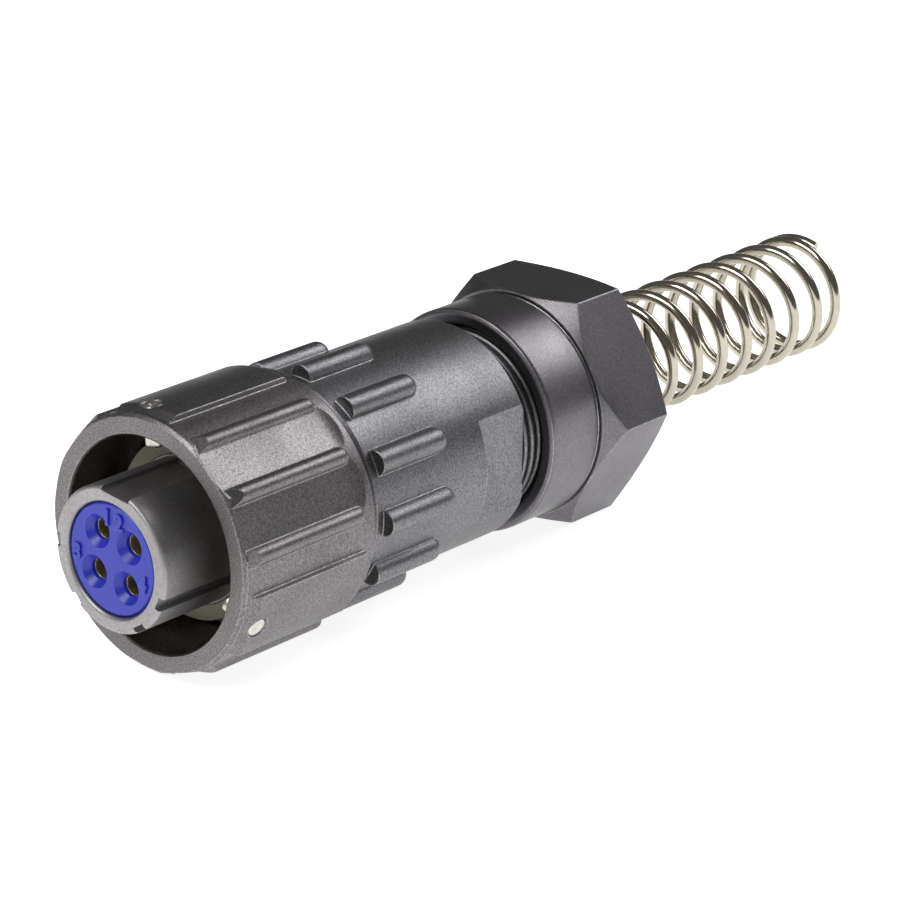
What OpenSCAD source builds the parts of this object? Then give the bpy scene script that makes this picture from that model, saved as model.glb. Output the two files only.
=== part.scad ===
// Four-contact circular cable plug with a three-pin bayonet coupling ring.
// The plug lies along Y: mating face towards -Y, cable towards +Y, +Z up.
// The origin is on the axis, in the plane of the coupling ring's front rim.
// Angles are measured round the axis from +X towards +Z.

/* [Mating barrel] */
// Outside diameter of the barrel that enters the receptacle
barrel_d = 13.2; // [12:0.1:18]
// Wall between the barrel's outside and the insert's bore
barrel_wall = 1.45; // [1.2:0.05:1.7]
// Length of barrel standing ahead of the coupling ring
barrel_reach = 4.4; // [3:0.1:6]
// Rounding of the barrel's rim
rim_round = 0.35; // [0.1:0.05:0.5]
// Angle of the main keyway
key_turn = 83; // [0:1:359]
// Width of the main keyway
main_key_w = 3.3; // [2:0.1:4]
// Width of the four minor keyways
minor_key_w = 1.3; // [0.8:0.1:1.6]
// Depth of every keyway
key_depth = 0.6; // [0.3:0.05:0.8]
// Distance from the ring's front to the shell's flange
flange_y = 5.8; // [5.6:0.1:7]
// Thickness of that flange
flange_t = 1.2; // [0.8:0.1:1.5]
// How far the flange stands out past the barrel
flange_step = 1.65; // [1.4:0.05:2]
// How far the ring's bearing stands out past the barrel
bearing_step = 0.75; // [0.5:0.05:1]

/* [Insert and contacts] */
// How far the insert's face sits behind the barrel's rim
insert_recess = 0.25; // [0:0.05:1]
// Diameter of the circle that the contacts stand on
contact_circle_d = 5.46; // [5:0.02:6]
// Bore of a socket contact
socket_bore = 1.8; // [1.2:0.1:1.9]
// Outside diameter of a contact
contact_d = 2.4; // [2.2:0.05:2.9]
// Mouth diameter of the funnel in front of a contact
funnel_d = 3.1; // [2.6:0.1:3.4]
// Depth of that funnel
funnel_depth = 0.65; // [0.3:0.05:1]

/* [Coupling ring] */
// Length of the ring
ring_len = 16.3; // [14.5:0.1:20]
// Radial gap between the barrel and the ring, which takes the receptacle
mating_gap = 3.15; // [2.6:0.05:4]
// Thickness of the ring's wall
ring_wall = 1.95; // [1.6:0.05:3]
// Thickness of the ring's wall behind its inner flange
cup_wall = 1.65; // [1.2:0.05:1.9]
// Height of the ribs and pads above the band
grip_rise = 0.5; // [0.2:0.05:1]
// Number of ribs between two pads
gap_ribs = 3; // [1:1:4]
// Angle of the first pin
pin_turn = 95.5; // [0:0.5:119]
// Angle that the top of a pad spans
pad_span = 28; // [20:1:36]
// Angle between two ribs
rib_step = 27; // [18:1:28]
// Radius of a rib's round back
rib_r = 0.85; // [0.5:0.05:1]
// Diameter of a bayonet pin
pin_d = 1.9; // [1.4:0.1:2.2]
// Distance from the ring's front to the pins' axis
pin_y = 2.1; // [1.6:0.1:3]
// How far a pin's tip stands into the bore
pin_reach = 1.35; // [0.8:0.05:1.4]

/* [Coupling mechanism] */
// Free travel of the ring against its wave spring
ring_travel = 0.6; // [0.3:0.05:1]
// Thickness of the wave spring's strip
wave_strip = 0.25; // [0.15:0.05:0.3]
// Thickness of the thrust washer
washer_t = 0.4; // [0.3:0.05:0.6]
// Thickness of the ring's inner flange
ring_flange_t = 1.8; // [1.2:0.1:2.4]
// Thickness of the rubber face gasket
gasket_t = 0.8; // [0.5:0.1:1.2]

// Rise of the land that the face gasket grips on the barrel
gasket_seat = 0.15; // [0.1:0.05:0.25]

/* [Rear body] */
// Radial gap between the body's nose and the ring around it
nose_gap = 0.35; // [0.2:0.05:0.6]
// How far the body stands out past its nose
body_step = 0.8; // [0.4:0.05:1.5]
// Distance from the ring's front to the body's rear shoulder
body_end = 38.7; // [32:0.1:48]
// Number of grip ribs on the body
body_ribs = 12; // [6:1:14]
// Radius of a body rib's round back
body_rib_r = 1.2; // [0.8:0.05:1.4]
// Length of a body rib
body_rib_len = 8.9; // [6:0.1:11]
// Depth of the two spanner flats
flat_cut = 1.2; // [0.6:0.05:1.3]
// Length of the spanner flats
flats_len = 6.3; // [4:0.1:7]
// How far the rear thread stands back from the body's surface
thread_step = 1.5; // [1.35:0.05:2]
// Depth of the rear thread
thread_depth = 0.45; // [0.2:0.05:0.6]
// Wall between the rear thread's core and the body's mouth
mouth_wall = 0.95; // [0.8:0.05:1.2]
// Length of the rear thread
thread_len = 7.8; // [7:0.1:9]
// Length of the screwed spigot that joins the shell to the body
spigot_len = 6.3; // [5:0.1:7]

/* [Cable gland] */
// Wall of the nut's round collar, outside its thread
collar_wall = 1.75; // [1.4:0.05:3]
// How far the hexagon's flats stand out past the collar
hex_step = 0.2; // [0.1:0.05:1.5]
// Length of the hexagon
hex_len = 8.8; // [6:0.1:10]
// Length of the nut's round collar
collar_len = 6.9; // [6:0.1:9]
// Gap between the body's shoulder and the nut
nut_gap = 2.6; // [2.4:0.1:4]
// Bore of the rubber cable grommet
cable_d = 8; // [6:0.5:9]
// Length of the cable grommet
grommet_len = 6.2; // [5:0.1:6.5]

/* [Strain relief spring] */
// Wire diameter
wire_d = 1.1; // [0.8:0.05:1.35]
// Outside diameter of the coil
coil_d = 12.3; // [11:0.1:12.6]
// Length of coil standing out of the nut
coil_len = 37.5; // [20:0.5:50]
// Distance between two open turns
coil_pitch = 4; // [2:0.1:6]

/* [Hidden] */

cast_grey = [0.43, 0.42, 0.44];
turned_grey = [0.36, 0.36, 0.39];
blue = [0.16, 0.2, 0.75];
dark_plastic = [0.12, 0.12, 0.13];
nickel = [0.78, 0.76, 0.7];
brass = [0.72, 0.6, 0.36];
cream = [0.8, 0.78, 0.68];
black_rubber = [0.08, 0.08, 0.08];

eps = 0.01;
slip = 0.05;          // radial clearance of pieces that are pushed together by hand
seat = 0.02;          // axial clearance between pieces that lie face to face
run = 0.06;           // radial clearance of the ring on the shell
press = 0.005;        // radial clearance drawn for a pressed pin
fine = 96;            // facets of a large circle
small = 48;           // facets of a small circle

// the coding: one main keyway and four minor ones, four contacts, three bayonet pins
key_angles = [0, -105, -140, -215, -265];
contact_angles = [45, -45, 135, -135];
pads = 3;

// plug shell, from the mating face to the cable
barrel_r = barrel_d / 2;
insert_r = barrel_r - barrel_wall;
key_end_gap = 0.4;
seam_turn = 20;       // where the turned surfaces start, clear of the keyways
flange_r = barrel_r + flange_step;
gasket_y = flange_y - gasket_t;
gasket_r = barrel_r + gasket_seat;
bearing_r = barrel_r + bearing_step;
wave_solid = 0.6;     // height of the wave spring when the ring is drawn right back
wave_height = ring_travel + wave_solid;
wave_y = flange_y + flange_t;
washer_y = wave_y + wave_height;
ring_flange_y = washer_y + washer_t + seat;
clip_gap = 0.1;
clip_t = 0.6;
clip_y = ring_flange_y + ring_flange_t + clip_gap;
clip_depth = 0.4;
clip_rise = 1.2;
clip_opening = 3.2;
body_y = clip_y + clip_t + 0.3;
seal_y = body_y + 0.6;
seal_len = 1.2;
seal_depth = 0.95;
spigot_y = seal_y + seal_len;
spigot_r = bearing_r - 0.35;
spigot_edge = 0.5;
shell_end = spigot_y + spigot_len;

// insert and contacts
insert_y = insert_recess - barrel_reach;
insert_edge = 0.2;
insert_step_y = 6;
insert_step = 0.75;
insert_big_r = insert_r + insert_step;
insert_flange_y = insert_step_y + insert_step;
insert_split = 9.2;
rear_insert_end = 14.6;
lock_ring_t = 2;
lock_ring_wall = 1.45;
lock_slot_w = 1.2;
lock_slot_depth = 0.8;
contact_edge = 0.1;
contact_shoulder_r = contact_d / 2 + 0.3;
contact_shoulder_t = 1.6;
contact_front = insert_y + funnel_depth + 0.35;
contact_end = rear_insert_end + 7.4;
socket_depth = 7;
cup_depth = 4.2;
cup_thickness = 0.35;
cup_floor = 1;

// coupling ring
bore_r = barrel_r + mating_gap;
ring_r = bore_r + ring_wall;
grip_r = ring_r + grip_rise;
grip_end = ring_len - 1.4;
cone_run = 1.6;
ring_edge = 0.3;
rear_round = 0.4;
mouth_edge = 0.2;
cup_r = ring_r - cup_wall;
pin_round = 0.3;
pin_edge = 0.15;
pin_dimple = 0.35;
pin_sink_w = 0.4;
pin_sink_t = 0.2;
pin_out = grip_r - 0.12;
pin_tip = bore_r - pin_reach;
gap_mid = pin_turn - 180 / pads;
wave_count = 4;
wave_steps = 72;
wave_in = bearing_r + run;
wave_out = flange_r - slip;
wave_swing = (wave_height - wave_strip) / 2 - seat;

// rear body
nose_r = cup_r - nose_gap;
nose_end = ring_len + 1.1;
body_r = nose_r + body_step;
body_edge = 0.3;
body_rib_y = nose_end + 1.1;
body_rib_turn = 27;
thread_r = body_r - thread_step;
thread_core_r = thread_r - thread_depth;
thread_edge = 0.4;
thread_end = body_end + thread_len;
flats_y = body_end - flats_len;
wire_room_r = thread_core_r - 0.55;
mouth_r = thread_core_r - mouth_wall;

// cable gland
cable_r = cable_d / 2;
grommet_stop_t = 1.4;
grommet_stop_r = cable_r + 1;
grommet_edge = 0.6;
grommet_groove = 0.35;
gland_washer_t = 1;
gland_washer_r = cable_r + 0.6;
grommet_y = thread_end - grommet_len - 1.05;
gland_washer_y = grommet_y + grommet_len + seat;

// strain relief spring: closed foot in the nut, neck, open turns, closed last turn
wire_r = wire_d / 2;
coil_r = coil_d / 2 - wire_r;
foot_r = mouth_r - 2 * slip - wire_r;
foot_y = gland_washer_y + gland_washer_t + seat + wire_r;
foot_turns = 1.25;
foot_pitch = wire_d + 0.05;
foot_end = foot_y + foot_pitch * foot_turns;
neck_turns = 0.5;
neck_slope = 0.185;   // rise of the neck for its drop in radius, where the nut's shoulder holds it
neck_end = foot_end + foot_pitch * neck_turns;
end_turns = 1.1;
wire_end_angle = 68;
wire_sides = 8;
wire_turn_steps = 26;

// gland nut
nut_y = body_end + nut_gap;
nut_bore_r = thread_r + slip;
nut_stop_y = foot_end + wire_r + neck_slope * (foot_r - coil_r);
nut_end = nut_y + collar_len + hex_len;
collar_r = nut_bore_r + collar_wall;
collar_round = 0.45;
collar_groove = 0.25;
hex_r = collar_r + hex_step;
hex_front_chamfer = 2;
hex_rear_chamfer = 1.3;
nut_mouth_edge = 0.5;
coil_room_r = coil_d / 2 + 0.25;
coil_end = nut_end + coil_len - wire_r;
open_turns = (coil_end - neck_end - end_turns * wire_d) / coil_pitch;
all_turns = foot_turns + neck_turns + open_turns + end_turns;
wire_steps = ceil(all_turns * wire_turn_steps);

// ---- shared shapes ----

module turned(points) rotate([-90, 0, 0]) rotate_extrude($fn = fine) polygon(points);

module rod(r, y0, y1) translate([0, y0, 0]) rotate([-90, 0, 0]) cylinder(r = r, h = y1 - y0, $fn = fine);

module tube(r_out, r_in, y0, y1) difference() {
    rod(r_out, y0, y1);
    rod(r_in, y0 - eps, y1 + eps);
}

module at_angle(a) rotate([0, -a, 0]) children();

module around(count, first) for (i = [0 : count - 1]) at_angle(first + i * 360 / count) children();

// a drawing in X and Z, pulled along Y from y0 to y1
module along(y0, y1) translate([0, y1, 0]) rotate([90, 0, 0]) linear_extrude(y1 - y0) children();

module o_ring(r_mid, r_wire, y) translate([0, y, 0]) rotate([-90, 0, 0])
    rotate_extrude($fn = fine) translate([r_mid, 0]) circle(r = r_wire, $fn = small);

function arc(cx, cy, r, a0, a1, n = 6) = [for (i = [0 : n]) let (a = a0 + (a1 - a0) * i / n)
    [cx + r * cos(a), cy + r * sin(a)]];

module at_contact(i) at_angle(key_turn + contact_angles[i])
    translate([contact_circle_d / 2, 0, 0]) children();

module contact_holes(r, y0, y1) for (i = [0 : len(contact_angles) - 1]) at_contact(i) rod(r, y0, y1);

// ---- plug shell ----

module keyways() for (i = [0 : len(key_angles) - 1]) at_angle(key_turn + key_angles[i]) {
    w = i == 0 ? main_key_w : minor_key_w;
    length = barrel_reach + gasket_y - key_end_gap;
    translate([barrel_r - key_depth, -barrel_reach - 1, -w / 2]) cube([2 * key_depth, length + 1, w]);
}

module plug_shell() color(cast_grey) difference() {
    at_angle(seam_turn) turned(concat(
        arc(insert_r + rim_round, rim_round - barrel_reach, rim_round, 180, 270),
        arc(barrel_r - rim_round, rim_round - barrel_reach, rim_round, 270, 360),
        [[barrel_r, gasket_y], [gasket_r, gasket_y], [gasket_r, flange_y], [flange_r, flange_y],
         [flange_r, flange_y + flange_t],
         [bearing_r, flange_y + flange_t], [bearing_r, clip_y - slip],
         [bearing_r - clip_depth, clip_y - slip], [bearing_r - clip_depth, clip_y + clip_t + slip],
         [bearing_r, clip_y + clip_t + slip], [bearing_r, seal_y], [bearing_r - seal_depth, seal_y],
         [bearing_r - seal_depth, spigot_y], [spigot_r, spigot_y], [spigot_r, shell_end - spigot_edge],
         [spigot_r - spigot_edge, shell_end], [insert_big_r, shell_end], [insert_big_r, insert_step_y],
         [insert_r, insert_step_y]]));
    keyways();
}

module face_gasket() color(cream) tube(flange_r - slip, gasket_r + slip, gasket_y, flange_y);

module body_o_ring() color(black_rubber)
    o_ring(bearing_r - seal_depth / 2, seal_depth / 2 - slip / 2, seal_y + seal_len / 2);

module ring_circlip() color(nickel) difference() {
    tube(bearing_r + clip_rise, bearing_r - clip_depth + slip, clip_y, clip_y + clip_t);
    at_angle(-90) translate([0, clip_y - eps, -clip_opening / 2])
        cube([bearing_r + clip_rise + 1, clip_t + 2 * eps, clip_opening]);
}

// ---- insert ----

module front_insert() color(blue) difference() {
    r = insert_r - slip;
    turned([[0, insert_y], [r - insert_edge, insert_y], [r, insert_y + insert_edge],
        [r, insert_flange_y], [r + insert_step, insert_flange_y],
        [r + insert_step, insert_split], [0, insert_split]]);
    contact_holes(socket_bore / 2 + slip, insert_y - 1, contact_front + eps);
    for (i = [0 : len(contact_angles) - 1])
        at_contact(i) translate([0, insert_y - eps, 0]) rotate([-90, 0, 0])
        cylinder(r1 = funnel_d / 2, r2 = socket_bore / 2 + slip, h = funnel_depth, $fn = small);
    contact_holes(contact_d / 2 + slip, contact_front - seat, insert_split + eps);
    shoulder_y = insert_split - contact_shoulder_t / 2;
    contact_holes(contact_shoulder_r + slip, shoulder_y - seat, insert_split + eps);
}

module rear_insert() color(dark_plastic) difference() {
    rod(insert_big_r - slip, insert_split + seat, rear_insert_end);
    contact_holes(contact_d / 2 + slip, insert_split, rear_insert_end + eps);
    contact_holes(contact_shoulder_r + slip, insert_split, insert_split + contact_shoulder_t / 2 + seat);
}

module insert_o_ring() color(black_rubber)
    o_ring(insert_r + insert_step / 2 - slip / 2, insert_step / 2 - slip, insert_step_y + insert_step / 2);

module insert_retaining_ring() color(brass) difference() {
    y = rear_insert_end + seat;
    tube(insert_big_r - slip, insert_big_r - slip - lock_ring_wall, y, y + lock_ring_t);
    translate([-insert_big_r, y + lock_ring_t - lock_slot_depth, -lock_slot_w / 2])
        cube([2 * insert_big_r, lock_slot_depth + 1, lock_slot_w]);
}

module contact(i) color(brass) at_contact(i - 1) difference() {
    r = contact_d / 2;
    shoulder_y = insert_split - contact_shoulder_t / 2;
    turned([[0, contact_front], [r - contact_edge, contact_front], [r, contact_front + contact_edge],
        [r, shoulder_y], [contact_shoulder_r, shoulder_y],
        [contact_shoulder_r, shoulder_y + contact_shoulder_t],
        [r, shoulder_y + contact_shoulder_t], [r, contact_end], [0, contact_end]]);
    rod(socket_bore / 2, contact_front - eps, contact_front + socket_depth);
    rod(r - cup_thickness, contact_end - cup_depth, contact_end + eps);
    translate([r / 6, contact_end - cup_depth + cup_floor, -r]) cube([r, cup_depth, 2 * r]);
}
module contact_1() contact(1);
module contact_2() contact(2);
module contact_3() contact(3);
module contact_4() contact(4);

// ---- coupling ring and its mechanism ----

// wavy washer: a flat strip closed on itself, with even waves round it
function wave_mid(a) = wave_y + wave_height / 2 + wave_swing * cos(wave_count * a);
function wave_ring(i) = let (a = i * 360 / wave_steps, h = wave_strip / 2)
    [for (p = [[wave_in, -h], [wave_out, -h], [wave_out, h], [wave_in, h]])
        [p[0] * cos(a), wave_mid(a) + p[1], p[0] * sin(a)]];
module wave_spring() color(nickel) polyhedron(
    points = [for (i = [0 : wave_steps - 1]) each wave_ring(i)],
    faces = [for (i = [0 : wave_steps - 1], k = [0 : 3]) let (j = (i + 1) % wave_steps, m = (k + 1) % 4)
        each [[4 * i + k, 4 * i + m, 4 * j + k], [4 * i + m, 4 * j + m, 4 * j + k]]]);

module thrust_washer() color(nickel) tube(bore_r - 0.3, bearing_r + run, washer_y, washer_y + washer_t);

// space that ribs and pads may fill: cone in front, rounded shoulder behind
module grip_envelope(end_round) turned(concat(
    [[0, 0], [ring_r - ring_edge - slip, 0], [grip_r, cone_run]],
    arc(grip_r - end_round, grip_end - end_round, end_round, 0, 90), [[0, grip_end]]));

module ring_rib() intersection() {
    grip_envelope(slip);
    translate([grip_r - rib_r, 0, 0]) {
        rod(rib_r, 0, grip_end - rib_r);
        translate([0, grip_end - rib_r, 0]) sphere(r = rib_r, $fn = small);
    }
}

// pad section: radius and half angle of each corner, from the root outwards
module ring_pad() {
    half = pad_span / 2;
    corners = [[ring_r - 1, half + 3], [ring_r + seat, half + 2], [grip_r, half + 0.5],
        [grip_r + 0.1, half - 1]];
    side = [for (c = corners) [c[0], c[0] * tan(c[1])]];
    other_side = [for (k = [len(side) - 1 : -1 : 0]) [side[k][0], -side[k][1]]];
    intersection() {
        grip_envelope(rear_round);
        along(0, ring_len) polygon(concat(side, other_side));
    }
}

// flat floor between two ribs, running out in a curve before the rear band
module valley(half_angle) {
    floor_x = ring_r * cos(half_angle);
    half_w = ring_r * sin(half_angle);
    run_out = 1.6;
    rise = ring_r - floor_x;
    run_r = (run_out * run_out + rise * rise) / (2 * rise);
    y = grip_end - 1;
    translate([0, 0, -half_w]) linear_extrude(2 * half_w) polygon(concat(
        [[floor_x, -1], [floor_x, y]],
        [for (i = [1 : 6]) let (t = run_out * i / 6)
            [floor_x + run_r - sqrt(run_r * run_r - t * t), y + t]],
        [[ring_r + 3, y + run_out], [ring_r + 3, -1]]));
}

module pin_hole() translate([0, pin_y, 0]) rotate([0, 90, 0]) {
    r = pin_d / 2 + press;
    cylinder(r = r, h = grip_r + 1, $fn = small);
    translate([0, 0, grip_r - pin_sink_t])
        cylinder(r1 = r, r2 = r + pin_sink_w, h = 2 * pin_sink_t, $fn = small);
}

module coupling_ring() color(cast_grey) difference() {
    union() {
        difference() {
            turned(concat([[bore_r, 0], [ring_r - ring_edge, 0], [ring_r, ring_edge]],
                arc(ring_r - rear_round, ring_len - rear_round, rear_round, 0, 90), [[bore_r, ring_len]]));
            around(pads, gap_mid) for (k = [1 : gap_ribs - 1])
                at_angle((k - gap_ribs / 2) * rib_step) valley(rib_step / 2);
        }
        around(pads, pin_turn) ring_pad();
        around(pads, gap_mid) for (k = [0 : gap_ribs - 1])
            at_angle((k - (gap_ribs - 1) / 2) * rib_step) ring_rib();
        tube(bore_r + ring_wall / 4, bearing_r + run, ring_flange_y, ring_flange_y + ring_flange_t);
    }
    turned([[0, -1], [bore_r + mouth_edge, -1], [bore_r + mouth_edge, 0], [bore_r, mouth_edge],
        [bore_r, ring_flange_y], [bearing_r + run, ring_flange_y],
        [bearing_r + run, ring_flange_y + ring_flange_t], [cup_r, ring_flange_y + ring_flange_t],
        [cup_r, ring_len + 1], [0, ring_len + 1]]);
    around(pads, pin_turn) pin_hole();
}

module bayonet_pin(i) color(nickel) at_angle(pin_turn - (i - 1) * 360 / pads)
    translate([0, pin_y, 0]) rotate([0, 90, 0]) rotate_extrude($fn = small) polygon(concat(
        [[0, pin_tip]], arc(pin_d / 2 - pin_round, pin_tip + pin_round, pin_round, 270, 360),
        [[pin_d / 2, pin_out - pin_edge], [pin_d / 2 - pin_edge, pin_out], [pin_d / 4, pin_out],
         [0, pin_out - pin_dimple]]));
module bayonet_pin_1() bayonet_pin(1);
module bayonet_pin_2() bayonet_pin(2);
module bayonet_pin_3() bayonet_pin(3);

// ---- rear body ----

module body_rib() translate([body_r, 0, 0]) {
    y = body_rib_y + body_rib_len - body_rib_r;
    rod(body_rib_r, body_rib_y, y);
    translate([0, y, 0]) sphere(r = body_rib_r, $fn = small);
}

module spanner_flat(side) translate([side * (2 * body_r - flat_cut), flats_y + flats_len, 0])
    cube([2 * body_r, 2 * flats_len, 4 * body_r], center = true);

module rear_body() color(cast_grey) difference() {
    union() {
        turned([[0, body_y], [nose_r - body_edge, body_y], [nose_r, body_y + body_edge],
            [nose_r, nose_end], [body_r - body_edge, nose_end], [body_r, nose_end + body_edge],
            [body_r, body_end - body_edge], [body_r - body_edge, body_end], [thread_core_r, body_end],
            [thread_core_r, thread_end - thread_edge], [thread_core_r - thread_edge, thread_end],
            [0, thread_end]]);
        around(body_ribs, body_rib_turn) body_rib();
    }
    spanner_flat(1);
    spanner_flat(-1);
    turned([[0, body_y - 1], [bearing_r + slip, body_y - 1], [bearing_r + slip, spigot_y],
        [spigot_r + slip, spigot_y], [spigot_r + slip, shell_end + spigot_edge],
        [wire_room_r, shell_end + 2], [wire_room_r, grommet_y - grommet_stop_t - 2],
        [grommet_stop_r, grommet_y - grommet_stop_t], [grommet_stop_r, grommet_y - seat],
        [mouth_r, grommet_y - seat], [mouth_r, thread_end + 1], [0, thread_end + 1]]);
}

// ---- cable gland ----

module cable_grommet() color(black_rubber) difference() {
    y = grommet_y + grommet_len;
    turned([[cable_r, grommet_y], [mouth_r - slip, grommet_y], [mouth_r - slip, y - grommet_edge],
        [mouth_r - grommet_edge, y], [cable_r, y]]);
    for (k = [1 : 3]) o_ring(cable_r, grommet_groove, grommet_y + k * grommet_len / 4);
}

module gland_washer() color(nickel)
    tube(mouth_r - slip, gland_washer_r, gland_washer_y, gland_washer_y + gland_washer_t);

// path of the wire, by turns counted from the foot
function ease(t) = t * t * (3 - 2 * t);
function wire_y(t) = t < foot_turns + neck_turns ? foot_y + foot_pitch * t
    : t < all_turns - end_turns ? neck_end + coil_pitch * (t - foot_turns - neck_turns)
    : coil_end - wire_d * (all_turns - t);
function wire_rad(t) = t < foot_turns ? foot_r
    : t < foot_turns + neck_turns ? foot_r + (coil_r - foot_r) * ease((t - foot_turns) / neck_turns)
    : coil_r;
function wire_at(t) = let (a = wire_end_angle + 360 * (all_turns - t))
    [wire_rad(t) * cos(a), wire_y(t), wire_rad(t) * sin(a)];
function unit(v) = v / norm(v);
function wire_ring(i) = let (t = all_turns * i / wire_steps, p = wire_at(t),
        d = unit(wire_at(min(t + 0.005, all_turns)) - wire_at(max(t - 0.005, 0))),
        u = unit([p[0], 0, p[2]]), n = unit(cross(d, u)), m = cross(n, d))
    [for (k = [0 : wire_sides - 1]) let (a = 360 * k / wire_sides) p + wire_r * (m * cos(a) + n * sin(a))];
module strain_relief_spring() color(nickel) polyhedron(
    points = [for (i = [0 : wire_steps]) each wire_ring(i)],
    faces = concat([[for (k = [0 : wire_sides - 1]) wire_sides - 1 - k]],
        [for (i = [0 : wire_steps - 1], k = [0 : wire_sides - 1])
            let (a = i * wire_sides + k, b = i * wire_sides + (k + 1) % wire_sides)
            each [[a, b, a + wire_sides], [b, b + wire_sides, a + wire_sides]]],
        [[for (k = [0 : wire_sides - 1]) wire_steps * wire_sides + k]]));

module gland_nut() color(turned_grey) difference() {
    hex_y = nut_y + collar_len;
    far_r = hex_r + hex_front_chamfer;
    union() {
        turned([[0, nut_y], [collar_r - collar_round, nut_y],
            [collar_r - collar_round / 4, nut_y + collar_round / 3], [collar_r, nut_y + collar_round],
            [collar_r, hex_y - 2 * collar_groove],
            [collar_r - collar_groove, hex_y - collar_groove], [collar_r - collar_groove, hex_y + eps],
            [0, hex_y + eps]]);
        intersection() {
            along(hex_y, nut_end) circle(r = hex_r / cos(30), $fn = 6);
            turned([[0, hex_y], [hex_r, hex_y], [far_r, hex_y + hex_front_chamfer],
                [far_r, nut_end - hex_rear_chamfer], [hex_r - 0.1, nut_end - 0.3], [hex_r - 0.4, nut_end],
                [0, nut_end]]);
        }
    }
    turned([[0, nut_y - 1], [nut_bore_r + nut_mouth_edge, nut_y - 1],
        [nut_bore_r + nut_mouth_edge, nut_y + 0.1], [nut_bore_r, nut_y + nut_mouth_edge + 0.1],
        [nut_bore_r, nut_stop_y], [coil_room_r, nut_stop_y],
        [coil_room_r, nut_end - nut_mouth_edge], [coil_room_r + nut_mouth_edge, nut_end + eps],
        [0, nut_end + eps]]);
}

plug_shell();
front_insert();
rear_insert();
insert_o_ring();
insert_retaining_ring();
contact_1();
contact_2();
contact_3();
contact_4();
face_gasket();
body_o_ring();
ring_circlip();
wave_spring();
rear_body();
cable_grommet();
thrust_washer();
coupling_ring();
bayonet_pin_1();
bayonet_pin_2();
bayonet_pin_3();
gland_washer();
strain_relief_spring();
gland_nut();
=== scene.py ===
import math

import bmesh
import bpy
from mathutils import Matrix, Vector


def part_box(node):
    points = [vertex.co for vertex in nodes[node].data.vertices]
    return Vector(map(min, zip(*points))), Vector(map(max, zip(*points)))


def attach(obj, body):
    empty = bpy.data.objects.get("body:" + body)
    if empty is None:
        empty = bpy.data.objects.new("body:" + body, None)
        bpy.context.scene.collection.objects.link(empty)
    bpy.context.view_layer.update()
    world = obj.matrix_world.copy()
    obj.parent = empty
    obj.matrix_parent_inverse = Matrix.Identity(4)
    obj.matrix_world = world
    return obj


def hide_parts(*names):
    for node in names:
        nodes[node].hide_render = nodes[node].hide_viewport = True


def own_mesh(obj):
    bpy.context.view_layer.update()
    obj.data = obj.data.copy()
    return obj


mm = 0.001
weld = 0.0001 * mm
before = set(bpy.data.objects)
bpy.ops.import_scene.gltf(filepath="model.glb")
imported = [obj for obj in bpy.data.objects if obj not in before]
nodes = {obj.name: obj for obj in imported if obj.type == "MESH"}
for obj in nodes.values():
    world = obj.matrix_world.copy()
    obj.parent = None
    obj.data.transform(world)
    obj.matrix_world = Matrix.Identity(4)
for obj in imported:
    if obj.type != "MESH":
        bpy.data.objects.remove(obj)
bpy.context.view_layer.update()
scene = bpy.context.scene
print("frame loaded,", len(nodes), "nodes")


# small helpers for node trees

def addNode(tree, kind, **settings):
    node = tree.nodes.new(kind)
    for key, value in settings.items():
        setattr(node, key, value)
    return node


def join(tree, source, target):
    if hasattr(source, "is_linked"):
        tree.links.new(source, target)
    else:
        target.default_value = source


def math2(tree, operation, a, b=0.0):
    node = addNode(tree, "ShaderNodeMath", operation=operation)
    join(tree, a, node.inputs[0])
    join(tree, b, node.inputs[1])
    return node.outputs[0]


def mapRange(tree, value, low, high, toLow, toHigh, smooth=False):
    node = addNode(tree, "ShaderNodeMapRange", clamp=True)
    node.interpolation_type = "SMOOTHSTEP" if smooth else "LINEAR"
    for socket, given in zip(node.inputs[:5], (value, low, high, toLow, toHigh)):
        join(tree, given, socket)
    return node.outputs[0]


def mixColour(tree, factor, a, b):
    node = addNode(tree, "ShaderNodeMix", data_type="RGBA")
    join(tree, factor, node.inputs[0])
    join(tree, a, node.inputs[6])
    join(tree, b, node.inputs[7])
    return node.outputs[2]


def rgba(values):
    return (*values, 1.0)


# finishes: grain, blotches, edges painted lighter as wear and as highlight, a bore painted darker as shade,
# turning rings

# lengths in millimetres; edgeTurn is the cosine range over which an edge counts as worn and gets the painted
# edge highlight
common = {"drift": 0.05, "patch": 6, "wearAndHighlightPatch": 0.9, "edgeTurn": (0.80, 0.985), "bumpStrength": 0.7,
          "wide": (0.3, 0.7), "narrow": (0.35, 0.65), "wearAndHighlightSpan": (0.35, 0.6)}


def ripple(tree, value, step):
    return math2(tree, "SINE", math2(tree, "MULTIPLY", value, 2 * math.pi / step))


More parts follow.
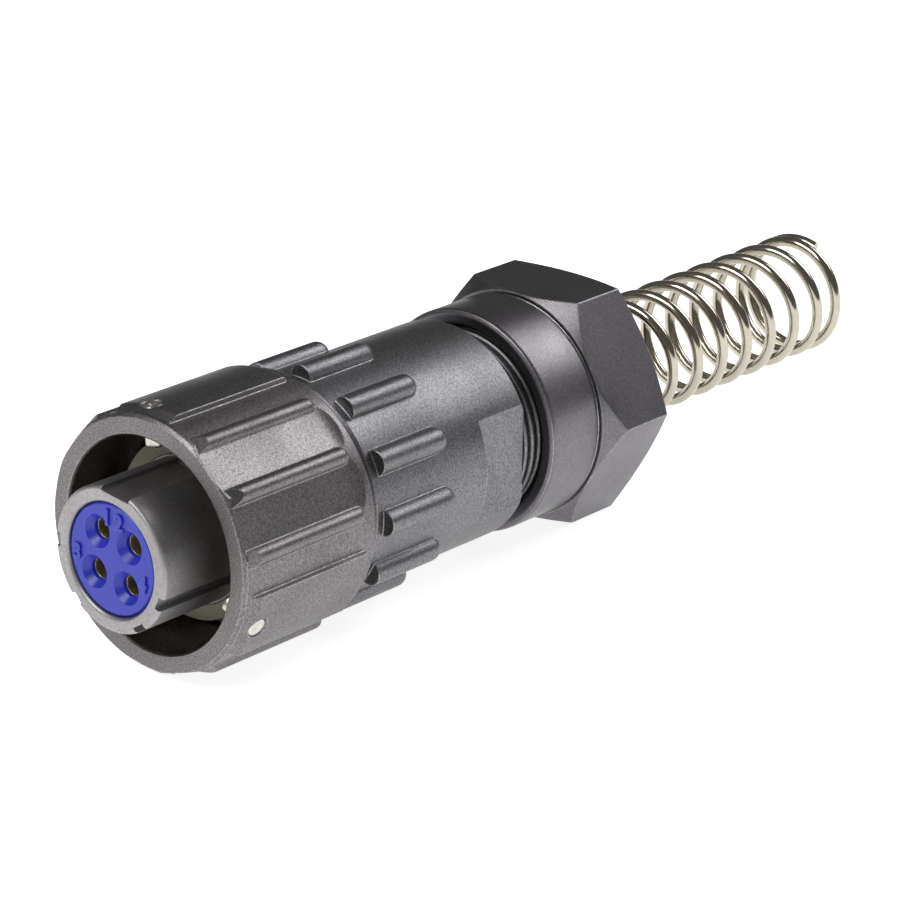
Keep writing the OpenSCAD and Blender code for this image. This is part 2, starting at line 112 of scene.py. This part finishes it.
def finish(name, look):
    material = bpy.data.materials.new(name)
    material.use_nodes = True
    tree = material.node_tree
    shader = tree.nodes["Principled BSDF"]
    shader.inputs["Metallic"].default_value = look["metallic"]
    shader.inputs["Subsurface Weight"].default_value = look.get("glow", 0.0)
    shader.inputs["Subsurface Scale"].default_value = 0.6 * mm
    shader.inputs["Subsurface Radius"].default_value = (0.3, 0.3, 1.0)
    position = addNode(tree, "ShaderNodeTexCoord").outputs["Object"]
    axes = addNode(tree, "ShaderNodeSeparateXYZ")
    tree.links.new(position, axes.inputs[0])
    x, y, z = axes.outputs
    squares = math2(tree, "ADD", math2(tree, "MULTIPLY", x, x), math2(tree, "MULTIPLY", z, z))
    radius = math2(tree, "SQRT", squares)

    def noise(size, detail=2.0):
        node = addNode(tree, "ShaderNodeTexNoise")
        tree.links.new(position, node.inputs["Vector"])
        node.inputs["Scale"].default_value = 1 / size
        node.inputs["Detail"].default_value = detail
        return node.outputs["Fac"]

    grain = noise(look["grain"] * mm)
    patches = noise(common["patch"] * mm, 3.0)
    tone = mapRange(tree, grain, *common["wide"], 1 - look["sparkle"], 1 + look["sparkle"])
    shade = mapRange(tree, patches, *common["wide"], 1 - common["drift"], 1 + common["drift"])
    blend = mapRange(tree, patches, *common["narrow"], 0, 1)
    colour = mixColour(tree, blend, rgba(look["base"]), rgba(look.get("other", look["base"])))
    height = math2(tree, "MULTIPLY", grain, look["bump"] * mm)
    roughDrift = look.get("roughDrift", common["drift"])
    rough = mapRange(tree, patches, *common["wide"], look["rough"] - roughDrift, look["rough"] + roughDrift)

    if "rings" in look:
        wave = ripple(tree, math2(tree, "ADD", y, radius), look["rings"] * mm)
        height = math2(tree, "ADD", height, math2(tree, "MULTIPLY", wave, look["ringBump"] * mm))
    if "bore" in look:
        # inside the bore the colour is painted darker as shade in the cavity; the turning lines and smoother
        # finish there are real
        inside = mapRange(tree, radius, look["bore"] * mm, (look["bore"] + look["boreFade"]) * mm, 1, 0)
        lines = math2(tree, "MULTIPLY", ripple(tree, y, look["boreLines"] * mm), inside)
        colour = mixColour(tree, inside, colour, rgba(look["boreShadeBase"]))
        rough = mapRange(tree, inside, 0, 1, rough, look["boreRough"])
        height = math2(tree, "ADD", height, math2(tree, "MULTIPLY", lines, look["boreBump"] * mm))

    soft = addNode(tree, "ShaderNodeBevel", samples=6)
    soft.inputs["Radius"].default_value = look["edge"] * mm
    dot = addNode(tree, "ShaderNodeVectorMath", operation="DOT_PRODUCT")
    tree.links.new(soft.outputs[0], dot.inputs[0])
    tree.links.new(addNode(tree, "ShaderNodeNewGeometry").outputs["Normal"], dot.inputs[1])
    # lighter edge colour: partly real rubbed wear, partly a painted highlight along the edges
    edgeWearAndHighlight = mapRange(tree, dot.outputs["Value"], *common["edgeTurn"], look.get("wearAndHighlight", 0.0), 0.0)
    uneven = mapRange(tree, noise(common["wearAndHighlightPatch"] * mm), *common["wearAndHighlightSpan"], 0.5, 1)
    edgeWearAndHighlight = math2(tree, "MULTIPLY", edgeWearAndHighlight, uneven)
    colour = mixColour(tree, edgeWearAndHighlight, colour, rgba(look.get("edgeWearAndHighlightBase", look["base"])))
    combined = math2(tree, "MULTIPLY", tone, shade)
    scaled = addNode(tree, "ShaderNodeVectorMath", operation="SCALE")
    tree.links.new(colour, scaled.inputs[0])
    tree.links.new(combined, scaled.inputs["Scale"])
    tree.links.new(scaled.outputs[0], shader.inputs["Base Color"])
    tree.links.new(rough, shader.inputs["Roughness"])
    bump = addNode(tree, "ShaderNodeBump")
    bump.inputs["Distance"].default_value = 1.0
    bump.inputs["Strength"].default_value = common["bumpStrength"]
    tree.links.new(height, bump.inputs["Height"])
    tree.links.new(soft.outputs[0], bump.inputs["Normal"])
    tree.links.new(bump.outputs[0], shader.inputs["Normal"])
    return material


# each look's lighter edge colour is partly wear and partly a painted highlight
looks = {
    "lacquer": {"base": (0.19, 0.182, 0.184), "other": (0.166, 0.158, 0.16), "metallic": 1.0,
        "rough": 0.43, "grain": 0.17, "sparkle": 0.4, "bump": 0.02, "edge": 0.2, "wearAndHighlight": 0.95,
        "edgeWearAndHighlightBase": (0.6, 0.59, 0.59), "bore": 9.85, "boreShadeBase": (0.1, 0.092, 0.086), "boreFade": 0.08,
        "boreLines": 0.32, "boreRough": 0.36, "boreBump": 0.006},
    "bodyLacquer": {"base": (0.186, 0.182, 0.189), "other": (0.163, 0.159, 0.166), "metallic": 1.0,
        "rough": 0.43, "grain": 0.17, "sparkle": 0.4, "bump": 0.02, "edge": 0.2, "wearAndHighlight": 0.95,
        "edgeWearAndHighlightBase": (0.56, 0.55, 0.55)},
    "nutPlate": {"base": (0.172, 0.165, 0.174), "other": (0.152, 0.145, 0.154), "metallic": 1.0,
        "rough": 0.38, "grain": 0.16, "sparkle": 0.22, "bump": 0.008, "edge": 0.24, "wearAndHighlight": 1.0,
        "edgeWearAndHighlightBase": (0.6, 0.59, 0.6), "rings": 0.34, "ringBump": 0.0025},
    # the barrel is the ring's lacquer with a lighter base, painted light for the light falling on it inside the
    # ring; its turning rings are real
    "barrelLitLacquer": {"base": (0.36, 0.35, 0.352), "other": (0.32, 0.31, 0.312), "metallic": 1.0,
        "rough": 0.48, "grain": 0.16, "sparkle": 0.16, "bump": 0.008, "edge": 0.1, "wearAndHighlight": 0.9,
        "edgeWearAndHighlightBase": (0.65, 0.64, 0.63), "rings": 0.3, "ringBump": 0.003},
    # the blue's bright edge colour is a painted highlight on the funnel and numeral edges
    "blue": {"base": (0.016, 0.03, 0.4), "other": (0.014, 0.026, 0.36), "metallic": 0.0, "rough": 0.36,
        "glow": 0.25, "grain": 0.4, "sparkle": 0.05, "bump": 0.003, "edge": 0.1, "wearAndHighlight": 0.9,
        "edgeWearAndHighlightBase": (0.16, 0.2, 0.95)},
    "darkPlastic": {"base": (0.03, 0.03, 0.034), "metallic": 0.0, "rough": 0.45, "grain": 0.3,
        "sparkle": 0.12, "bump": 0.008, "edge": 0.1},
    "contact": {"base": (0.8, 0.72, 0.52), "other": (0.7, 0.63, 0.46), "metallic": 1.0, "rough": 0.36,
        "grain": 0.25, "sparkle": 0.08, "bump": 0.004, "edge": 0.06, "wearAndHighlight": 0.6,
        "edgeWearAndHighlightBase": (0.85, 0.76, 0.55), "rings": 0.2, "ringBump": 0.002},
    "nickel": {"base": (0.5, 0.465, 0.385), "other": (0.44, 0.41, 0.34), "metallic": 1.0, "rough": 0.14,
        "grain": 0.5, "sparkle": 0.05, "bump": 0.004, "edge": 0.08, "wearAndHighlight": 0.3,
        "edgeWearAndHighlightBase": (0.85, 0.83, 0.78), "roughDrift": 0.04},
    "pinMetal": {"base": (0.56, 0.54, 0.49), "metallic": 1.0, "rough": 0.3, "grain": 0.3, "sparkle": 0.08,
        "bump": 0.01, "edge": 0.25, "wearAndHighlight": 0.4, "edgeWearAndHighlightBase": (0.9, 0.88, 0.84)},
    "paleRubber": {"base": (0.32, 0.3, 0.22), "other": (0.28, 0.26, 0.19), "metallic": 0.0, "rough": 0.62,
        "grain": 0.3, "sparkle": 0.06, "bump": 0.01, "edge": 0.12},
    "blackRubber": {"base": (0.018, 0.018, 0.019), "metallic": 0.0, "rough": 0.6, "grain": 0.3,
        "sparkle": 0.15, "bump": 0.01, "edge": 0.12},
}
materials = {name: finish(name, look) for name, look in looks.items()}
print("finishes built")

finishOf = {
    "coupling_ring": "lacquer", "rear_body": "bodyLacquer", "gland_nut": "nutPlate",
    "plug_shell": "barrelLitLacquer", "front_insert": "blue", "rear_insert": "darkPlastic",
    "face_gasket": "paleRubber",
    "insert_o_ring": "blackRubber", "body_o_ring": "blackRubber", "cable_grommet": "blackRubber",
    "insert_retaining_ring": "nickel", "ring_circlip": "nickel", "wave_spring": "nickel",
    "thrust_washer": "nickel", "gland_washer": "nickel", "strain_relief_spring": "nickel",
    **{f"contact_{n}": "contact" for n in (1, 2, 3, 4)},
    **{f"bayonet_pin_{n}": "pinMetal" for n in (1, 2, 3)},
}


def dress(item, look):
    item.data.materials.clear()
    item.data.materials.append(materials[look])


for name, node in nodes.items():
    dress(node, finishOf[name])


# geometry node trees

def newTree(name, sockets):
    tree = bpy.data.node_groups.new(name, "GeometryNodeTree")
    tree.interface.new_socket("Geometry", in_out="OUTPUT", socket_type="NodeSocketGeometry")
    tree.interface.new_socket("Geometry", in_out="INPUT", socket_type="NodeSocketGeometry")
    for label, kind in sockets.items():
        tree.interface.new_socket(label, in_out="INPUT", socket_type=kind)
    source = tree.nodes.new("NodeGroupInput")
    target = tree.nodes.new("NodeGroupOutput")
    return tree, {s.name: s for s in source.outputs if s.name}, target


def cleanMesh(mesh, distance, outward=True):
    work = bmesh.new()
    work.from_mesh(mesh)
    bmesh.ops.remove_doubles(work, verts=work.verts, dist=distance)
    if outward:
        bmesh.ops.recalc_face_normals(work, faces=work.faces)
    work.to_mesh(mesh)
    work.free()


def runTree(name, tree, inputs, look, body, node=None):
    start = bpy.data.meshes.new(name + "Start")
    start.from_pydata([(0, 0, 0)], [], [])
    host = bpy.data.objects.new(name + "Host", start)
    scene.collection.objects.link(host)
    modifier = host.modifiers.new("build", "NODES")
    modifier.node_group = tree
    keys = {s.name: s.identifier for s in tree.interface.items_tree if s.in_out == "INPUT"}
    for label, value in inputs.items():
        modifier[keys[label]] = value
    modifier[keys["Material"]] = materials[look]
    graph = bpy.context.evaluated_depsgraph_get()
    mesh = bpy.data.meshes.new_from_object(host.evaluated_get(graph), depsgraph=graph)
    bpy.data.objects.remove(host)
    cleanMesh(mesh, weld)
    return place(name, mesh, look, body, node)


def place(name, mesh, look, body, node=None, angle=35):
    mesh.name = name
    item = bpy.data.objects.new(name, mesh)
    scene.collection.objects.link(item)
    mesh.polygons.foreach_set("use_smooth", [True] * len(mesh.polygons))
    mesh.set_sharp_from_angle(angle=math.radians(angle))
    dress(item, look)
    if node:
        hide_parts(node)
    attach(item, body)
    print(name, "built,", len(mesh.polygons), "faces")
    return item


floatInput, intInput, materialInput = "NodeSocketFloat", "NodeSocketInt", "NodeSocketMaterial"


# a wire wound on a changing radius: foot turns, a neck, open turns and a closed end
def coilTree():
    labels = ["Turns", "Foot turns", "Neck turns", "End turns", "Foot radius", "Coil radius", "Start",
              "Foot pitch", "Coil pitch", "End pitch", "End angle", "Wire radius"]
    sockets = {n: floatInput for n in labels}
    sockets.update({"Steps": intInput, "Sides": intInput, "Material": materialInput})
    tree, given, target = newTree("woundWire", sockets)
    line = tree.nodes.new("GeometryNodeCurvePrimitiveLine")
    points = tree.nodes.new("GeometryNodeResampleCurve")
    tree.links.new(line.outputs[0], points.inputs["Curve"])
    tree.links.new(given["Steps"], points.inputs["Count"])
    along = tree.nodes.new("GeometryNodeSplineParameter").outputs["Factor"]
    turn = math2(tree, "MULTIPLY", along, given["Turns"])
    lowEnd = math2(tree, "ADD", given["Foot turns"], given["Neck turns"])
    highEnd = math2(tree, "SUBTRACT", given["Turns"], given["End turns"])
    first = math2(tree, "MINIMUM", turn, lowEnd)
    last = math2(tree, "MAXIMUM", math2(tree, "SUBTRACT", turn, highEnd), 0.0)
    middle = math2(tree, "SUBTRACT", math2(tree, "SUBTRACT", turn, first), last)
    rise = math2(tree, "ADD", given["Start"], math2(tree, "MULTIPLY", first, given["Foot pitch"]))
    rise = math2(tree, "ADD", rise, math2(tree, "MULTIPLY", middle, given["Coil pitch"]))
    rise = math2(tree, "ADD", rise, math2(tree, "MULTIPLY", last, given["End pitch"]))
    footRadius, coilRadius = given["Foot radius"], given["Coil radius"]
    spread = mapRange(tree, turn, given["Foot turns"], lowEnd, footRadius, coilRadius, smooth=True)
    angle = math2(tree, "ADD", given["End angle"],
                  math2(tree, "MULTIPLY", math2(tree, "SUBTRACT", given["Turns"], turn), 2 * math.pi))
    where = tree.nodes.new("ShaderNodeCombineXYZ")
    tree.links.new(math2(tree, "MULTIPLY", math2(tree, "COSINE", angle), spread), where.inputs[0])
    tree.links.new(rise, where.inputs[1])
    tree.links.new(math2(tree, "MULTIPLY", math2(tree, "SINE", angle), spread), where.inputs[2])
    move = tree.nodes.new("GeometryNodeSetPosition")
    tree.links.new(points.outputs[0], move.inputs["Geometry"])
    tree.links.new(where.outputs[0], move.inputs["Position"])
    section = tree.nodes.new("GeometryNodeCurvePrimitiveCircle")
    tree.links.new(given["Sides"], section.inputs["Resolution"])
    tree.links.new(given["Wire radius"], section.inputs["Radius"])
    sweep = tree.nodes.new("GeometryNodeCurveToMesh")
    sweep.inputs["Fill Caps"].default_value = True
    tree.links.new(move.outputs[0], sweep.inputs["Curve"])
    tree.links.new(section.outputs[0], sweep.inputs["Profile Curve"])
    real = tree.nodes.new("GeometryNodeRealizeInstances")
    paint = tree.nodes.new("GeometryNodeSetMaterial")
    tree.links.new(sweep.outputs[0], real.inputs[0])
    tree.links.new(real.outputs[0], paint.inputs["Geometry"])
    tree.links.new(given["Material"], paint.inputs["Material"])
    tree.links.new(paint.outputs[0], target.inputs[0])
    return tree


spring = {"wire": 1.1, "coilRadius": 5.6, "footRadius": 6.95, "footStart": 47.04, "footPitch": 1.15,
          "coilPitch": 4.0, "footTurns": 1.25, "neckTurns": 0.5, "endTurns": 1.1, "endAngle": 68,
          "end": 93.95, "stepsPerTurn": 80, "sides": 24}
neckEnd = spring["footStart"] + spring["footPitch"] * (spring["footTurns"] + spring["neckTurns"])
openTurns = (spring["end"] - neckEnd - spring["endTurns"] * spring["wire"]) / spring["coilPitch"]
allTurns = spring["footTurns"] + spring["neckTurns"] + openTurns + spring["endTurns"]
woundWire = coilTree()
runTree("reliefSpring", woundWire, {
    "Turns": allTurns, "Foot turns": spring["footTurns"], "Neck turns": spring["neckTurns"],
    "End turns": spring["endTurns"], "Foot radius": spring["footRadius"] * mm,
    "Coil radius": spring["coilRadius"] * mm, "Start": spring["footStart"] * mm,
    "Foot pitch": spring["footPitch"] * mm, "Coil pitch": spring["coilPitch"] * mm,
    "End pitch": spring["wire"] * mm, "End angle": math.radians(spring["endAngle"]),
    "Wire radius": spring["wire"] / 2 * mm, "Steps": round(allTurns * spring["stepsPerTurn"]),
    "Sides": spring["sides"]},
    "nickel", "gland_carrier", "strain_relief_spring")

# the ridge of the rear thread, wound with the same tree: half of its section stands out of the body
thread = {"start": 39.15, "pitch": 1.0, "turns": 6.6, "radius": 8.72, "ridge": 0.27, "neck": 0.001,
          "steps": 560, "sides": 8}
runTree("rearThread", woundWire, {
    "Turns": thread["turns"], "Foot turns": 0.0, "Neck turns": thread["neck"], "End turns": 0.0,
    "Foot radius": thread["radius"] * mm, "Coil radius": thread["radius"] * mm,
    "Start": thread["start"] * mm, "Foot pitch": thread["pitch"] * mm,
    "Coil pitch": thread["pitch"] * mm, "End pitch": thread["pitch"] * mm,
    "End angle": 0.0, "Wire radius": thread["ridge"] * mm, "Steps": thread["steps"],
    "Sides": thread["sides"]},
    "bodyLacquer", "root")


# raised numerals beside the sockets

numerals = {"height": 1.5, "depth": 0.2, "sunk": 0.02, "face": -4.15, "extrude": 0.5, "bevel": 0.03, "steps": 6,
            "places": {"1": (95.5, 3.82), "2": (73.5, 3.8), "3": (184, 4.1), "4": (-17, 3.95)}}


def raisedMark(text, angle, radius):
    curve = bpy.data.curves.new("mark" + text, "FONT")
    curve.body = text
    curve.align_x, curve.align_y = "CENTER", "CENTER"
    curve.extrude = numerals["extrude"]
    curve.bevel_depth = numerals["bevel"]
    curve.bevel_resolution = 1
    curve.resolution_u = numerals["steps"]
    source = bpy.data.objects.new("markSource" + text, curve)
    scene.collection.objects.link(source)
    graph = bpy.context.evaluated_depsgraph_get()
    mesh = bpy.data.meshes.new_from_object(source.evaluated_get(graph), depsgraph=graph)
    bpy.data.objects.remove(source)
    low = Vector(min(v.co[i] for v in mesh.vertices) for i in range(3))
    high = Vector(max(v.co[i] for v in mesh.vertices) for i in range(3))
    size = numerals["height"] * mm / (high.y - low.y)
    middle = (low + high) / 2
    depth = (numerals["depth"] + numerals["sunk"]) * mm
    acrossStart = radius * mm * math.cos(math.radians(angle))
    upStart = radius * mm * math.sin(math.radians(angle))
    for v in mesh.vertices:
        across, up, out = v.co - middle
        rise = (out / (high.z - low.z) + 0.5) * depth
        front = (numerals["face"] + numerals["sunk"]) * mm - rise
        v.co = Vector((across * size + acrossStart, front, up * size + upStart))
    cleanMesh(mesh, 2 * weld)
    place("mark" + text, mesh, "blue", "root", angle=50)


for text, (angle, radius) in numerals["places"].items():
    raisedMark(text, angle, radius)


# copies of the wave spring and the cable grommet, put on root in place of their parts

softPieces = {
    "wavePiece": {"node": "wave_spring", "slot": "nickel", "joint": "ring_slide", "front": 7.0, "keep": 0.5},
    "grommetPiece": {"node": "cable_grommet", "slot": "black_rubber", "joint": "gland_slide", "front": 39.25,
                     "keep": 0.5},
}
for name, piece in softPieces.items():
    mesh = nodes[piece["node"]].data.copy()
    cleanMesh(mesh, weld, outward=False)
    item = place(name, mesh, finishOf[piece["node"]], "root", piece["node"])
    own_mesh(item)


# floor, light and camera

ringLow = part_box("coupling_ring")[0].z
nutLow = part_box("gland_nut")[0].z
rest = {"ringY": 14.5 * mm, "nutY": 55.7 * mm, "gap": 0.03 * mm, "half": 4.0}
slope = (nutLow - ringLow) / (rest["nutY"] - rest["ringY"])
floorMesh = bpy.data.meshes.new("floor")
far = rest["half"]
corners = ((-far, -far), (far, -far), (far, far), (-far, far))
floorMesh.from_pydata([(x, y, ringLow - rest["gap"] + slope * (y - rest["ringY"])) for x, y in corners],
                      [], [(0, 1, 2, 3)])
floor = bpy.data.objects.new("floor", floorMesh)
scene.collection.objects.link(floor)
studio = {"paper": (0.86, 0.86, 0.86), "paperRough": 0.9, "paperGlow": 0.82, "air": (1.0, 0.97, 0.97),
          "airLight": 0.13, "aim": (0, 0.03, 0)}
paper = bpy.data.materials.new("paper")
paper.use_nodes = True
paperShader = paper.node_tree.nodes["Principled BSDF"]
paperShader.inputs["Base Color"].default_value = rgba(studio["paper"])
paperShader.inputs["Roughness"].default_value = studio["paperRough"]
paperShader.inputs["Specular IOR Level"].default_value = 0.0
paperShader.inputs["Emission Color"].default_value = (1, 1, 1, 1)
paperShader.inputs["Emission Strength"].default_value = studio["paperGlow"]
floorMesh.materials.append(paper)

world = bpy.data.worlds.new("studio")
scene.world = world
world.use_nodes = True
air = world.node_tree.nodes["Background"]
air.inputs["Color"].default_value = rgba(studio["air"])
air.inputs["Strength"].default_value = studio["airLight"]


softBoxes = {
    "keyBox": {"toward": (0.25, 0.71, 0.66), "distance": 0.75, "size": (0.42, 0.42), "power": 2.5,
               "tint": (0.98, 0.98, 1.0)},
    "frontBox": {"toward": (-0.1, -0.68, 0.72), "distance": 0.8, "size": (0.5, 0.4), "power": 4.0,
                 "tint": (1, 1, 1)},
}
for name, box in softBoxes.items():
    lamp = bpy.data.lights.new(name, "AREA")
    lamp.shape = "RECTANGLE"
    lamp.size, lamp.size_y = box["size"]
    lamp.energy = box["power"]
    lamp.color = box["tint"]
    item = bpy.data.objects.new(name, lamp)
    scene.collection.objects.link(item)
    aim = Vector(studio["aim"])
    item.location = aim + Vector(box["toward"]).normalized() * box["distance"]
    item.rotation_euler = (item.location - aim).to_track_quat("Z", "Y").to_euler()

view = {"place": (0.2035, -0.1968, 0.1176), "right": (0.754, 0.657, 0.014),
        "ahead": (-0.609, 0.707, -0.359), "lens": 143.4, "sensor": 36, "near": 0.01}
lensData = bpy.data.cameras.new("camera")
lensData.lens = view["lens"]
lensData.sensor_width = view["sensor"]
lensData.clip_start = view["near"]
camera = bpy.data.objects.new("camera", lensData)
scene.collection.objects.link(camera)
axisX = Vector(view["right"]).normalized()
axisZ = -Vector(view["ahead"]).normalized()
axisY = axisZ.cross(axisX).normalized()
turn = Matrix((axisX, axisY, axisZ)).transposed().to_4x4()
camera.matrix_world = Matrix.Translation(Vector(view["place"])) @ turn
scene.camera = camera
scene.view_settings.view_transform = "Standard"
print("floor, light and camera set")
